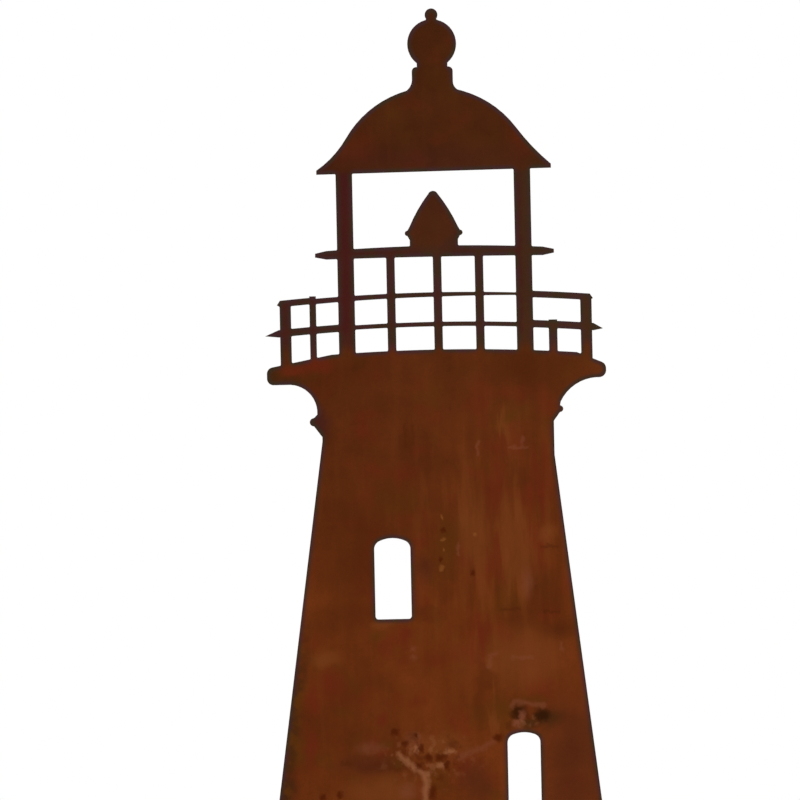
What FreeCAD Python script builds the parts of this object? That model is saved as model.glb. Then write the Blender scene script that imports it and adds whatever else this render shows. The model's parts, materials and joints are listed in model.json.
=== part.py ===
"""Garden lighthouse ornament: a flat lighthouse cut from one rusted steel sheet, on a bolted base plate.

The sheet carries the whole picture in one piece: ball finial, ogee dome, open lantern with its beacon,
gallery with railings, and the tapering tower with its windows and door.
It stands upright with two tabs in slots of the base plate, and two folded corner brackets behind it
hold it there.  Each bracket has one screw through the sheet and one up through the base plate.

Frame: X across the picture, Y from front to back, Z up.  The origin is on the ground, under the middle
of the base plate, and the front of the picture faces -Y.  All sizes are in millimetres.
"""
import FreeCAD, Part
import math
import os

from FreeCAD import Vector

# ---- sheet metal ------------------------------------------------------------------------------------
SHEET = 2.0                    # the picture sheet and the brackets
BASE_THICKNESS = 3.0
KERF_RADIUS = 0.7              # least radius that the cutting beam leaves in an inside corner
CORNER_PROBE = 0.05            # how far from a corner the metal is looked for
SMOOTH_JOIN = 0.26             # sides that turn less than about 15 degrees make no corner
SAME_PLACE = 1e-4              # points closer than this are one point

# ---- tower ------------------------------------------------------------------------------------------
TOWER_HEIGHT = 355.5           # foot to neck
LEFT_NECK_STEP = 5.1           # the side turns upright this far above the neck on the left
RIGHT_NECK_STEP = -5.2         # and below it on the right
TOWER_FOOT_WIDTH = 226.3
TOWER_NECK_WIDTH = 134.7
LANTERN_X = 5.1                # cut by eye: all above the foot is centred this far to the right of it

# ---- gallery slab, cove and neck bead ---------------------------------------------------------------
GALLERY_RISE = 57.1            # neck to the crown of the deck
COURSE_RADIUS = 1050.0         # deck and rails bow upwards, as if seen from below
LEFT_SLAB_REACH = 98.8         # middle line to the slab's end
RIGHT_SLAB_REACH = 98.3
LEFT_SLAB_THICKNESS = 10.4     # at its end
RIGHT_SLAB_THICKNESS = 9.3
LEFT_SLAB_CORNER = 3.8         # radius of the two corners of a slab end
RIGHT_SLAB_CORNER = 4.1
LEFT_SLAB_DROP = 13.6          # crown of the deck down to the middle of a slab end
RIGHT_SLAB_DROP = 13.4
LEFT_SLAB_FALL = 11.5          # slope in degrees of the slab's top where its rounded end begins
RIGHT_SLAB_FALL = 27.0
LEFT_DECK_RUN = 61.0           # the deck follows its bow this far out, then falls to the slab end
RIGHT_DECK_RUN = 81.5
LEFT_COVE_START = 13.5         # slab end inwards to where the cove starts
RIGHT_COVE_START = 6.0
LEFT_COVE_SAG = 4.9            # how far the cove hollows in from its chord
RIGHT_COVE_SAG = 3.3
LEFT_COVE_FOOT = 2.7           # the cove ends this far outside the neck
RIGHT_COVE_FOOT = 4.3
BEAD_TO_COVE = 4.4             # bead nose up to the foot of the cove
LEFT_BEAD_NOSE = 2.4           # half the thickness of the bead at its nose
RIGHT_BEAD_NOSE = 1.9
LEFT_BEAD_REACH = 7.1          # the bead is cut lower and bolder on the left
LEFT_BEAD_HEIGHT = 16.3        # neck to the nose
RIGHT_BEAD_REACH = 5.6
RIGHT_BEAD_HEIGHT = 21.2
BEAD_SLOPE = 1.35              # fall of the bead's underside for each millimetre inwards

# ---- gallery railing --------------------------------------------------------------------------------
MID_RAIL_HEIGHT = 14.8         # crown of the deck to the middle of the rail
TOP_RAIL_HEIGHT = 32.0
LEFT_RAIL_STEP = 0.2           # the thick ends of the rails lie this much higher than their middle
RIGHT_RAIL_STEP = 0.6
RAIL_THICKNESS = 2.6           # between the lantern posts
TOP_RAIL_GROWTH = 0.6          # the top rail is this much thicker at the left-hand side baluster
TOP_RAIL_THINNING = 1.2        # and this much thinner at the right-hand lantern post
TOP_RAIL_END_THICKNESS = 3.8   # of the thick ends
MID_RAIL_END_THICKNESS = 4.3
LEFT_MID_RAIL_REACH = 99.4     # middle line to the tip of the point
RIGHT_MID_RAIL_REACH = 97.0
LEFT_TOP_RAIL_REACH = 92.2
RIGHT_TOP_RAIL_REACH = 91.5
LEFT_MID_RAIL_POINT = 8.0      # length of the point
RIGHT_MID_RAIL_POINT = 5.6
TOP_RAIL_POINT = 1.8
RAIL_TIP_DROP = 0.6            # the tips hang this far below the middle of their rail
END_POST_SPREAD = 174.8        # between the middles of the two end posts
END_POST_WIDTH = 6.5
LEFT_BALUSTER_X = -71.4
LEFT_BALUSTER_WIDTH = 3.8
RIGHT_BALUSTER_X = 68.0
RIGHT_BALUSTER_WIDTH = 4.9
BALUSTER_PROUD = 0.7           # the head of a side baluster shows above the rail it reaches
INNER_BALUSTER_PITCH = 25.7    # three balusters under the lantern, between its posts
INNER_BALUSTER_WIDTH = 4.9
MIDDLE_BALUSTER_SHIFT = 1.4    # the middle one stands a little to the right

# ---- lantern ----------------------------------------------------------------------------------------
POST_SPREAD = 103.5            # between the middles of the two lantern posts
POST_WIDTH = 9.6
SILL_HEIGHT = 54.0             # crown of the deck to the sill's underside
SILL_WIDTH = 138.8
SILL_THICKNESS = 6.4
SILL_TIP_THICKNESS = 2.2
SILL_TIP_DROP = 0.4            # outside the posts the sill hangs this far below its underside
SILL_TIP_RISE = 1.3            # from there up to the underside of its tips
SILL_POINT = 6.5
LANTERN_OPENING = 43.0         # top of the sill to the underside of the roof
BEACON_X = -0.2
BEACON_HEIGHT = 31.8
BEACON_TIP_RADIUS = 3.0
BEACON_TIP_ANGLE = 28.0        # above level, where the rounded tip meets the sloping glass
BEACON_SHOULDER = 14.0         # half widths, from the top down
BEACON_BEAD = 16.8
BEACON_BEAD_NOSE = 1.5         # half the thickness of the bead at its nose
BEACON_FOOT = 14.0
BEACON_SHOULDER_HEIGHT = 11.2  # heights above the sill
BEACON_BEAD_HEIGHT = 7.4
BEACON_FOOT_HEIGHT = 3.4
BEACON_BULGE = 0.7

# ---- dome and finial --------------------------------------------------------------------------------
DOME_RADIUS = 59.4
DOME_RISE = 49.2               # underside of the roof to the top of the dome's circle
LEFT_EAVE_REACH = 67.7         # middle line to the tip of the eave
RIGHT_EAVE_REACH = 68.7
LEFT_EAVE_STEP = -0.4          # the roof is cut a little out of level, low on the left
RIGHT_EAVE_STEP = 0.9
EAVE_THICKNESS = 2.3
DOME_SHIFT = 0.9               # the dome and the finial lie a little to the right of the eaves
LEFT_FLARE_ANGLE = 31.0        # above the circle's middle, where the flare leaves the dome
RIGHT_FLARE_ANGLE = 36.0
COLLAR_WIDTH = 23.8
COLLAR_RISE = 11.7             # dome's top to the top of the collar
COLLAR_SHOULDER = 2.6
LEFT_COLLAR_FLARE = 8.0        # radius in the corner between collar and dome
RIGHT_COLLAR_FLARE = 5.5
WAIST_WIDTH = 17.8
BALL_RADIUS = 14.2
BALL_RISE = 25.1               # dome's top to the middle of the ball
KNOB_RADIUS = 3.7
KNOB_RISE = 16.8               # middle of the ball to the middle of the knob

# ---- windows and door -------------------------------------------------------------------------------
WINDOW_HEIGHT = 47.2
WINDOW_CROWN_RADIUS = 17.5
WINDOW_SHOULDER_RADIUS = 5.2
UPPER_WINDOW_WIDTH = 21.0
UPPER_WINDOW_X = -28.1
UPPER_WINDOW_SILL = 256.4      # above the foot
LOWER_WINDOW_WIDTH = 19.1
LOWER_WINDOW_X = 46.1
LOWER_WINDOW_SILL = 142.0
DOOR_WIDTH = 30.0
DOOR_HEIGHT = 64.0
DOOR_SILL = 12.0
DOOR_CROWN_RADIUS = 25.0
DOOR_SHOULDER_RADIUS = 7.4
SILL_CORNER_RADIUS = 1.8       # lower corners of the windows and the door

# ---- base plate -------------------------------------------------------------------------------------
BASE_WIDTH = 260.0
BASE_DEPTH = 140.0
BASE_CORNER_RADIUS = 12.0
ANCHOR_EDGE = 14.0             # anchor hole to each edge of the plate
ANCHOR_RADIUS = 3.5
TAB_WIDTH = 24.0
TAB_SPREAD = 176.0             # between the middles of the two tabs
TAB_SHORT = 0.4                # the tabs end this far above the ground
SLOT_CLEARANCE = 0.2           # round each tab

# ---- corner brackets --------------------------------------------------------------------------------
BRACKET_SPREAD = 100.0
BRACKET_WIDTH = 30.0
BRACKET_LEG = 32.0
BEND_RADIUS = 2.0              # inside the fold
BRACKET_CORNER_CUT = 4.0       # clipped corners
HOLE_FROM_HEEL = 18.0          # in each leg

# ---- M5 fasteners -----------------------------------------------------------------------------------
SCREW_RADIUS = 2.5
CLEARANCE_HOLE_RADIUS = 2.75
THREAD_GAP = 0.05              # between a screw and its nut
SCREW_LENGTH = 12.0
BUTTON_HEAD_RADIUS = 4.75
BUTTON_HEAD_TOP_RADIUS = 3.0
BUTTON_HEAD_HEIGHT = 2.75
SOCKET_ACROSS_FLATS = 3.0
SOCKET_DEPTH = 1.6
COUNTERSUNK_HEAD_RADIUS = 4.8
COUNTERSINK_SPARE = 0.1        # the head lies this far inside the underside
WASHER_RADIUS = 5.0
WASHER_THICKNESS = 1.0
NUT_ACROSS_FLATS = 8.0
NUT_HEIGHT = 4.0

# ---- levels and places that follow from these -------------------------------------------------------
FRONT = -SHEET / 2
BACK = SHEET / 2
FOOT_Z = BASE_THICKNESS
NECK_Z = FOOT_Z + TOWER_HEIGHT
DECK_Z = NECK_Z + GALLERY_RISE
SILL_Z = DECK_Z + SILL_HEIGHT
SILL_TOP_Z = SILL_Z + SILL_THICKNESS
ROOF_Z = SILL_TOP_Z + LANTERN_OPENING
DOME_TOP_Z = ROOF_Z + DOME_RISE
POST_X = POST_SPREAD / 2
SIDES = (-1, 1)
BACKWARDS = Vector(0, 1, 0)
UPWARDS = Vector(0, 0, 1)
OVERLAP = 1.0                  # what is fused to a neighbour reaches this far into it


# ---- outlines in the plane of the sheet -------------------------------------------------------------
def at(x, z):
    """A point of the picture, on the front face of the sheet; x counts from the lantern's middle line."""
    return Vector(LANTERN_X + x, FRONT, z)


def foot_x(x):
    """What counts x from the middle of the foot, counted from the lantern's middle line instead."""
    return x - LANTERN_X


def course_z(x, crown_z):
    """Height at x of a course that bows upwards to crown_z over the middle of the picture."""
    return crown_z - COURSE_RADIUS + math.sqrt(COURSE_RADIUS ** 2 - x ** 2)


def flat_piece(start, *steps):
    """A flat piece of the picture.  Each step is a point for a straight cut, or (through, end) for an arc."""
    edges = []
    here = start
    for step in steps + (start,):
        if isinstance(step, tuple):
            through, end = step
            edges.append(Part.Arc(here, through, end).toShape())
        else:
            end = step
            if end.distanceToPoint(here) < SAME_PLACE:
                continue
            edges.append(Part.LineSegment(here, end).toShape())
        here = end
    face = Part.Face(Part.Wire(edges))
    return face if face.normalAt(0, 0).y < 0 else face.reversed()


def bulged(start, end, bulge):
    """Arc step from start to end that swells by bulge to the left of the way."""
    way = end - start
    left = Vector(-way.z, 0, way.x).normalize()
    return (start + way * 0.5 + left * bulge, end)


def tangent_arc(start, direction, end):
    """Arc step from start, leaving along direction, to end."""
    chord = end - start
    turn = math.atan2(direction.x * chord.z - direction.z * chord.x, direction.dot(chord))
    return bulged(start, end, -math.tan(turn / 2) * chord.Length / 2)


def bar(x, width, bottom_z, top_z):
    """An upright bar of the picture."""
    left, right = x - width / 2, x + width / 2
    return flat_piece(at(left, bottom_z), at(right, bottom_z), at(right, top_z), at(left, top_z))


def disc(x, z, radius):
    """A round piece of the picture."""
    left, right = at(x - radius, z), at(x + radius, z)
    return flat_piece(left, (at(x, z - radius), right), (at(x, z + radius), left))


def course(x_from, x_to, crown_z, thickness, thinning=0.0):
    """A rail from one place to another, bowed like the deck; crown_z is the level of its middle.

    Its underside rises by thinning on the way.
    """
    x_mid = (x_from + x_to) / 2
    low, high = crown_z - thickness / 2, crown_z + thickness / 2
    return flat_piece(
        at(x_from, course_z(x_from, low)),
        (at(x_mid, course_z(x_mid, low + thinning / 2)), at(x_to, course_z(x_to, low + thinning))),
        at(x_to, course_z(x_to, high)),
        (at(x_mid, course_z(x_mid, high)), at(x_from, course_z(x_from, high))),
    )


def arched_opening(x, sill_z, width, height, crown_radius, shoulder_radius):
    """The waste of a window or door: a flat three-centred arch over straight jambs."""
    half = width / 2
    top_z = sill_z + height
    shoulder_x = half - shoulder_radius
    crown_z = top_z - crown_radius
    reach = crown_radius - shoulder_radius
    shoulder_z = crown_z + math.sqrt(reach ** 2 - shoulder_x ** 2)
    lean = math.asin(shoulder_x / reach)
    meet_x = shoulder_x + shoulder_radius * math.sin(lean)
    meet_z = shoulder_z + shoulder_radius * math.cos(lean)
    steep = (lean + math.pi / 2) / 2
    bend_x = shoulder_x + shoulder_radius * math.sin(steep)
    bend_z = shoulder_z + shoulder_radius * math.cos(steep)
    corner = SILL_CORNER_RADIUS
    cut_corner = corner * (1 - math.sqrt(0.5))
    return flat_piece(
        at(x - half + corner, sill_z),
        at(x + half - corner, sill_z),
        (at(x + half - cut_corner, sill_z + cut_corner), at(x + half, sill_z + corner)),
        at(x + half, shoulder_z),
        (at(x + bend_x, bend_z), at(x + meet_x, meet_z)),
        (at(x, top_z), at(x - meet_x, meet_z)),
        (at(x - bend_x, bend_z), at(x - half, shoulder_z)),
        at(x - half, sill_z + corner),
        (at(x - half + cut_corner, sill_z + cut_corner), at(x - half + corner, sill_z)),
    )


# ---- the lighthouse sheet ---------------------------------------------------------------------------
def of_side(side, left, right):
    """The value that holds on one side of the picture; side is -1 for the left and 1 for the right."""
    return left if side < 0 else right


def slab_end_z(side):
    """Level of the middle of a rounded slab end."""
    return DECK_Z - of_side(side, LEFT_SLAB_DROP, RIGHT_SLAB_DROP)


def tower_half(side):
    """One half of the tower with its neck bead, cove and gallery slab, out from the middle line."""
    neck_x = TOWER_NECK_WIDTH / 2
    upright_z = NECK_Z + of_side(side, LEFT_NECK_STEP, RIGHT_NECK_STEP)
    bead_reach = of_side(side, LEFT_BEAD_REACH, RIGHT_BEAD_REACH)
    nose = of_side(side, LEFT_BEAD_NOSE, RIGHT_BEAD_NOSE)
    nose_x = neck_x + bead_reach
    nose_z = NECK_Z + of_side(side, LEFT_BEAD_HEIGHT, RIGHT_BEAD_HEIGHT)
    bead_foot_z = nose_z - nose - (bead_reach - nose) * BEAD_SLOPE
    cove_foot_x = neck_x + of_side(side, LEFT_COVE_FOOT, RIGHT_COVE_FOOT)
    cove_foot = at(side * cove_foot_x, nose_z + BEAD_TO_COVE)
    cove_sag = of_side(side, LEFT_COVE_SAG, RIGHT_COVE_SAG)

    slab_x = of_side(side, LEFT_SLAB_REACH, RIGHT_SLAB_REACH)
    half_slab = of_side(side, LEFT_SLAB_THICKNESS, RIGHT_SLAB_THICKNESS) / 2
    corner = of_side(side, LEFT_SLAB_CORNER, RIGHT_SLAB_CORNER)
    underside_z = slab_end_z(side) - half_slab
    low_z = underside_z + corner
    high_z = slab_end_z(side) + half_slab - corner
    corner_x = slab_x - corner
    cove_top = at(side * (slab_x - of_side(side, LEFT_COVE_START, RIGHT_COVE_START)), underside_z)

    run_x = of_side(side, LEFT_DECK_RUN, RIGHT_DECK_RUN)
    fall = math.radians(of_side(side, LEFT_SLAB_FALL, RIGHT_SLAB_FALL))
    upper_turn = (fall + math.pi / 2) / 2
    lower_turn = (math.pi / 2 + math.pi) / 2

    def on_corner(z, angle):
        """A point of the slab end's upper or lower corner; angle counts from straight up."""
        return at(side * (corner_x + corner * math.sin(angle)), z + corner * math.cos(angle))

    return flat_piece(
        at(0, FOOT_Z),
        at(foot_x(side * TOWER_FOOT_WIDTH / 2), FOOT_Z),
        at(side * neck_x, upright_z),
        at(side * neck_x, bead_foot_z),
        at(side * (nose_x - nose), nose_z - nose),
        (at(side * nose_x, nose_z), at(side * (nose_x - nose), nose_z + nose)),
        cove_foot,
        bulged(cove_foot, cove_top, side * cove_sag),
        at(side * corner_x, underside_z),
        (on_corner(low_z, lower_turn), at(side * slab_x, low_z)),
        at(side * slab_x, high_z),
        (on_corner(high_z, upper_turn), on_corner(high_z, fall)),
        at(side * run_x, course_z(run_x, DECK_Z)),
        (at(side * run_x / 2, course_z(run_x / 2, DECK_Z)), at(0, DECK_Z)),
    )


def rail_end(side, start_x, crown_z, thickness, reach, point):
    """The thicker part of a gallery rail on one side, and its pointed tip."""
    outer_z = crown_z + of_side(side, LEFT_RAIL_STEP, RIGHT_RAIL_STEP)
    shoulder_x = side * (reach - point)
    tip_x = side * reach
    low = at(shoulder_x, course_z(shoulder_x, outer_z - thickness / 2))
    high = at(shoulder_x, course_z(shoulder_x, outer_z + thickness / 2))
    tip = flat_piece(low, at(tip_x, course_z(tip_x, outer_z) - RAIL_TIP_DROP), high)
    return [course(side * start_x, shoulder_x, outer_z, thickness), tip]


def railing():
    """Rails, end posts and balusters of the gallery."""
    top_rail_z = DECK_Z + TOP_RAIL_HEIGHT
    mid_rail_z = DECK_Z + MID_RAIL_HEIGHT
    # The top rail is thin from the left-hand side baluster to the right-hand lantern post.
    pieces = [
        course(MIDDLE_BALUSTER_SHIFT, LEFT_BALUSTER_X, top_rail_z, RAIL_THICKNESS, -TOP_RAIL_GROWTH),
        course(MIDDLE_BALUSTER_SHIFT, POST_X, top_rail_z, RAIL_THICKNESS, TOP_RAIL_THINNING),
        course(-POST_X, POST_X, mid_rail_z, RAIL_THICKNESS),
    ]
    for side in SIDES:
        top_start_x = of_side(side, -LEFT_BALUSTER_X, POST_X)
        top_reach = of_side(side, LEFT_TOP_RAIL_REACH, RIGHT_TOP_RAIL_REACH)
        mid_reach = of_side(side, LEFT_MID_RAIL_REACH, RIGHT_MID_RAIL_REACH)
        mid_point = of_side(side, LEFT_MID_RAIL_POINT, RIGHT_MID_RAIL_POINT)
        pieces += rail_end(side, top_start_x, top_rail_z, TOP_RAIL_END_THICKNESS, top_reach, TOP_RAIL_POINT)
        pieces += rail_end(side, POST_X, mid_rail_z, MID_RAIL_END_THICKNESS, mid_reach, mid_point)
        x = side * END_POST_SPREAD / 2
        pieces.append(bar(x, END_POST_WIDTH, slab_end_z(side), course_z(x, top_rail_z)))

    # The right-hand side baluster stops at the middle rail, as it does on the real sheet.
    left_head = LEFT_RAIL_STEP + TOP_RAIL_END_THICKNESS / 2 + BALUSTER_PROUD
    right_head = RIGHT_RAIL_STEP + MID_RAIL_END_THICKNESS / 2 + BALUSTER_PROUD
    left_head_z = course_z(LEFT_BALUSTER_X, top_rail_z) + left_head
    right_head_z = course_z(RIGHT_BALUSTER_X, mid_rail_z) + right_head
    pieces.append(bar(LEFT_BALUSTER_X, LEFT_BALUSTER_WIDTH, slab_end_z(-1), left_head_z))
    pieces.append(bar(RIGHT_BALUSTER_X, RIGHT_BALUSTER_WIDTH, slab_end_z(1), right_head_z))

    for x in (-INNER_BALUSTER_PITCH, MIDDLE_BALUSTER_SHIFT, INNER_BALUSTER_PITCH):
        pieces.append(bar(x, INNER_BALUSTER_WIDTH, course_z(x, DECK_Z) - OVERLAP, SILL_Z + OVERLAP))
    return pieces


def lantern():
    """Sill, two posts up to the roof, and the beacon between them."""
    half = SILL_WIDTH / 2
    shoulder = half - SILL_POINT
    shoulder_z = course_z(shoulder, SILL_TOP_Z)
    low_z = SILL_Z - SILL_TIP_DROP
    tip_z = low_z + SILL_TIP_RISE
    sill = flat_piece(
        at(-shoulder, low_z),
        (at(0, SILL_Z), at(shoulder, low_z)),
        at(half, tip_z),
        at(half, tip_z + SILL_TIP_THICKNESS),
        at(shoulder, shoulder_z),
        (at(0, SILL_TOP_Z), at(-shoulder, shoulder_z)),
        at(-half, tip_z + SILL_TIP_THICKNESS),
        at(-half, tip_z),
    )
    posts = [bar(side * POST_X, POST_WIDTH, DECK_Z - 2 * OVERLAP, ROOF_Z + 2 * OVERLAP) for side in SIDES]
    return [sill, beacon()] + posts


def beacon():
    """The lamp in the lantern, drawn as a pointed glass with a bead round its foot."""
    shoulder_z = SILL_TOP_Z + BEACON_SHOULDER_HEIGHT
    bead_z = SILL_TOP_Z + BEACON_BEAD_HEIGHT
    foot_z = SILL_TOP_Z + BEACON_FOOT_HEIGHT
    nose_x = BEACON_BEAD - BEACON_BEAD_NOSE
    tip_z = SILL_TOP_Z + BEACON_HEIGHT
    angle = math.radians(BEACON_TIP_ANGLE)
    tip_side_x = BEACON_TIP_RADIUS * math.cos(angle)
    tip_side_z = tip_z - BEACON_TIP_RADIUS * (1 - math.sin(angle))
    left_tip, right_tip = at(BEACON_X - tip_side_x, tip_side_z), at(BEACON_X + tip_side_x, tip_side_z)
    left_shoulder = at(BEACON_X - BEACON_SHOULDER, shoulder_z)
    right_shoulder = at(BEACON_X + BEACON_SHOULDER, shoulder_z)
    return flat_piece(
        at(BEACON_X - BEACON_FOOT, SILL_TOP_Z - OVERLAP),
        at(BEACON_X + BEACON_FOOT, SILL_TOP_Z - OVERLAP),
        at(BEACON_X + BEACON_FOOT, foot_z),
        at(BEACON_X + nose_x, bead_z - BEACON_BEAD_NOSE),
        (at(BEACON_X + BEACON_BEAD, bead_z), at(BEACON_X + nose_x, bead_z + BEACON_BEAD_NOSE)),
        right_shoulder,
        bulged(right_shoulder, right_tip, -BEACON_BULGE),
        (at(BEACON_X, tip_z), left_tip),
        bulged(left_tip, left_shoulder, -BEACON_BULGE),
        at(BEACON_X - nose_x, bead_z + BEACON_BEAD_NOSE),
        (at(BEACON_X - BEACON_BEAD, bead_z), at(BEACON_X - nose_x, bead_z - BEACON_BEAD_NOSE)),
        at(BEACON_X - BEACON_FOOT, foot_z),
    )


def flare_steps(side):
    """Where a flare leaves the dome, a point on its way, and the upper and lower edge of its eave."""
    angle = math.radians(of_side(side, LEFT_FLARE_ANGLE, RIGHT_FLARE_ANGLE))
    leave = at(DOME_SHIFT + side * DOME_RADIUS * math.cos(angle),
               DOME_TOP_Z - DOME_RADIUS + DOME_RADIUS * math.sin(angle))
    eave_x = side * of_side(side, LEFT_EAVE_REACH, RIGHT_EAVE_REACH)
    eave_z = ROOF_Z + of_side(side, LEFT_EAVE_STEP, RIGHT_EAVE_STEP)
    upper_eave = at(eave_x, eave_z + EAVE_THICKNESS)
    through, _ = tangent_arc(leave, Vector(side * math.sin(angle), 0, -math.cos(angle)), upper_eave)
    return leave, through, upper_eave, at(eave_x, eave_z)


def dome():
    """The roof: a round dome that flares out into its eaves."""
    left_leave, left_through, left_upper_eave, left_lower_eave = flare_steps(-1)
    right_leave, right_through, right_upper_eave, right_lower_eave = flare_steps(1)
    return flat_piece(
        left_lower_eave,
        right_lower_eave,
        right_upper_eave,
        (right_through, right_leave),
        (at(DOME_SHIFT, DOME_TOP_Z), left_leave),
        (left_through, left_upper_eave),
    )


def collar_half(side):
    """One half of the collar on the dome, out from the middle line."""
    collar_x = COLLAR_WIDTH / 2
    flare = of_side(side, LEFT_COLLAR_FLARE, RIGHT_COLLAR_FLARE)
    flare_x = collar_x + flare
    flare_z = DOME_TOP_Z - DOME_RADIUS + math.sqrt(DOME_RADIUS ** 2 - flare_x ** 2)
    hollow = flare * (1 - math.sqrt(0.5))
    shoulder_x = collar_x - COLLAR_SHOULDER
    shoulder_z = DOME_TOP_Z + COLLAR_RISE - COLLAR_SHOULDER
    rounding = COLLAR_SHOULDER * math.sqrt(0.5)

    def out(x, z):
        return at(DOME_SHIFT + side * x, z)

    return flat_piece(
        out(0, flare_z - OVERLAP),
        out(flare_x, flare_z - OVERLAP),
        out(flare_x, flare_z),
        (out(collar_x + hollow, flare_z + hollow), out(collar_x, flare_z + flare)),
        out(collar_x, shoulder_z),
        (out(shoulder_x + rounding, shoulder_z + rounding), out(shoulder_x, DOME_TOP_Z + COLLAR_RISE)),
        out(0, DOME_TOP_Z + COLLAR_RISE),
    )


def finial():
    """Collar, waist, ball and knob on top of the dome."""
    ball_z = DOME_TOP_Z + BALL_RISE
    ball = disc(DOME_SHIFT, ball_z, BALL_RADIUS)
    knob = disc(DOME_SHIFT, ball_z + KNOB_RISE, KNOB_RADIUS)
    waist = bar(DOME_SHIFT, WAIST_WIDTH, DOME_TOP_Z + COLLAR_RISE - OVERLAP, ball_z)
    return [collar_half(side) for side in SIDES] + [waist, ball, knob]


def tabs():
    """The two tabs of the foot that stand in the base plate's slots."""
    return [bar(foot_x(side * TAB_SPREAD / 2), TAB_WIDTH, TAB_SHORT, FOOT_Z + OVERLAP) for side in SIDES]


def lighthouse_sheet():
    """The whole picture, cut from one sheet."""
    pieces = [tower_half(side) for side in SIDES]
    pieces += tabs() + railing() + lantern() + [dome()] + finial()
    outline = pieces[0].fuse(pieces[1:]).removeSplitter().Faces[0]
    openings = [
        arched_opening(UPPER_WINDOW_X, FOOT_Z + UPPER_WINDOW_SILL, UPPER_WINDOW_WIDTH, WINDOW_HEIGHT,
                       WINDOW_CROWN_RADIUS, WINDOW_SHOULDER_RADIUS),
        arched_opening(LOWER_WINDOW_X, FOOT_Z + LOWER_WINDOW_SILL, LOWER_WINDOW_WIDTH, WINDOW_HEIGHT,
                       WINDOW_CROWN_RADIUS, WINDOW_SHOULDER_RADIUS),
        arched_opening(foot_x(0), FOOT_Z + DOOR_SILL, DOOR_WIDTH, DOOR_HEIGHT,
                       DOOR_CROWN_RADIUS, DOOR_SHOULDER_RADIUS),
    ]
    openings += [disc(foot_x(place.x), place.z, CLEARANCE_HOLE_RADIUS) for place in upright_screw_places()]
    corners = inside_corners(outline)
    sheet = outline.cut(openings).Faces[0].extrude(Vector(0, SHEET, 0))
    return sheet.makeFillet(KERF_RADIUS, [edge for edge in sheet.Edges if stands_on(edge, corners)])


def stands_on(edge, corners):
    """Whether an edge of the sheet runs through its thickness from one of these corners."""
    start, end = edge.valueAt(edge.FirstParameter), edge.valueAt(edge.LastParameter)
    if abs((end - start).y) < SHEET - SAME_PLACE:
        return False
    return any(math.hypot(corner.x - start.x, corner.z - start.z) < SAME_PLACE for corner in corners)


def leaving(side, corner):
    """Direction in which a side of an outline leaves its corner."""
    if side.valueAt(side.FirstParameter).distanceToPoint(corner) < SAME_PLACE:
        return side.tangentAt(side.FirstParameter)
    return side.tangentAt(side.LastParameter) * -1


def inside_corners(outline):
    """Corners that point into the metal of a flat outline, where both sides have room for the radius."""
    corners = []
    for vertex in outline.Vertexes:
        corner = vertex.Point
        sides = outline.ancestorsOfType(vertex, Part.Edge)
        first, second = [leaving(side, corner) for side in sides]
        between = first + second
        if between.Length < SMOOTH_JOIN:
            continue
        turn = math.pi - first.getAngle(second)
        room = min(side.Length for side in sides) / 2 / math.tan(turn / 2)
        into_waste = corner + between.normalize() * CORNER_PROBE
        if room > KERF_RADIUS and not outline.isInside(into_waste, SAME_PLACE, True):
            corners.append(corner)
    return corners


# ---- base plate and brackets ------------------------------------------------------------------------
def upright_screw_places():
    """Where the screws pass the sheet: points on its front face."""
    return [Vector(side * BRACKET_SPREAD / 2, FRONT, FOOT_Z + HOLE_FROM_HEEL) for side in SIDES]


def base_screw_places():
    """Where the screws pass the base plate: points on its underside."""
    return [Vector(side * BRACKET_SPREAD / 2, BACK + HOLE_FROM_HEEL, 0) for side in SIDES]


def through_hole(radius, place, direction):
    """The waste of a round hole that runs both ways from a point."""
    length = 2 * BRACKET_LEG
    return Part.makeCylinder(radius, length, place - direction * (length / 2), direction)


def base_plate():
    """Plate with rounded corners, slots for the tabs, countersunk screw holes and anchor holes."""
    plate = Part.makeBox(BASE_WIDTH, BASE_DEPTH, BASE_THICKNESS, Vector(-BASE_WIDTH / 2, -BASE_DEPTH / 2, 0))
    uprights = [edge for edge in plate.Edges
                if edge.tangentAt(edge.FirstParameter).cross(UPWARDS).Length < SAME_PLACE]
    plate = plate.makeFillet(BASE_CORNER_RADIUS, uprights)
    slot_width = TAB_WIDTH + 2 * SLOT_CLEARANCE
    slot_depth = SHEET + 2 * SLOT_CLEARANCE
    slot_height = BASE_THICKNESS + 2 * OVERLAP
    waste = []
    for side in SIDES:
        corner = Vector(side * TAB_SPREAD / 2 - slot_width / 2, -slot_depth / 2, -OVERLAP)
        waste.append(Part.makeBox(slot_width, slot_depth, slot_height, corner))
        for end in SIDES:
            x = side * (BASE_WIDTH / 2 - ANCHOR_EDGE)
            y = end * (BASE_DEPTH / 2 - ANCHOR_EDGE)
            waste.append(through_hole(ANCHOR_RADIUS, Vector(x, y, 0), UPWARDS))
    for place in base_screw_places():
        waste.append(through_hole(CLEARANCE_HOLE_RADIUS, place, UPWARDS))
        waste.append(countersink(place))
    return plate.cut(waste)


def countersink(place):
    """The waste of a 90 degree countersink that opens on the underside, with room for the head."""
    wide = COUNTERSUNK_HEAD_RADIUS + 2 * COUNTERSINK_SPARE
    depth = wide - CLEARANCE_HOLE_RADIUS
    return Part.makeCone(wide, CLEARANCE_HOLE_RADIUS, depth, place)


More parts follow.
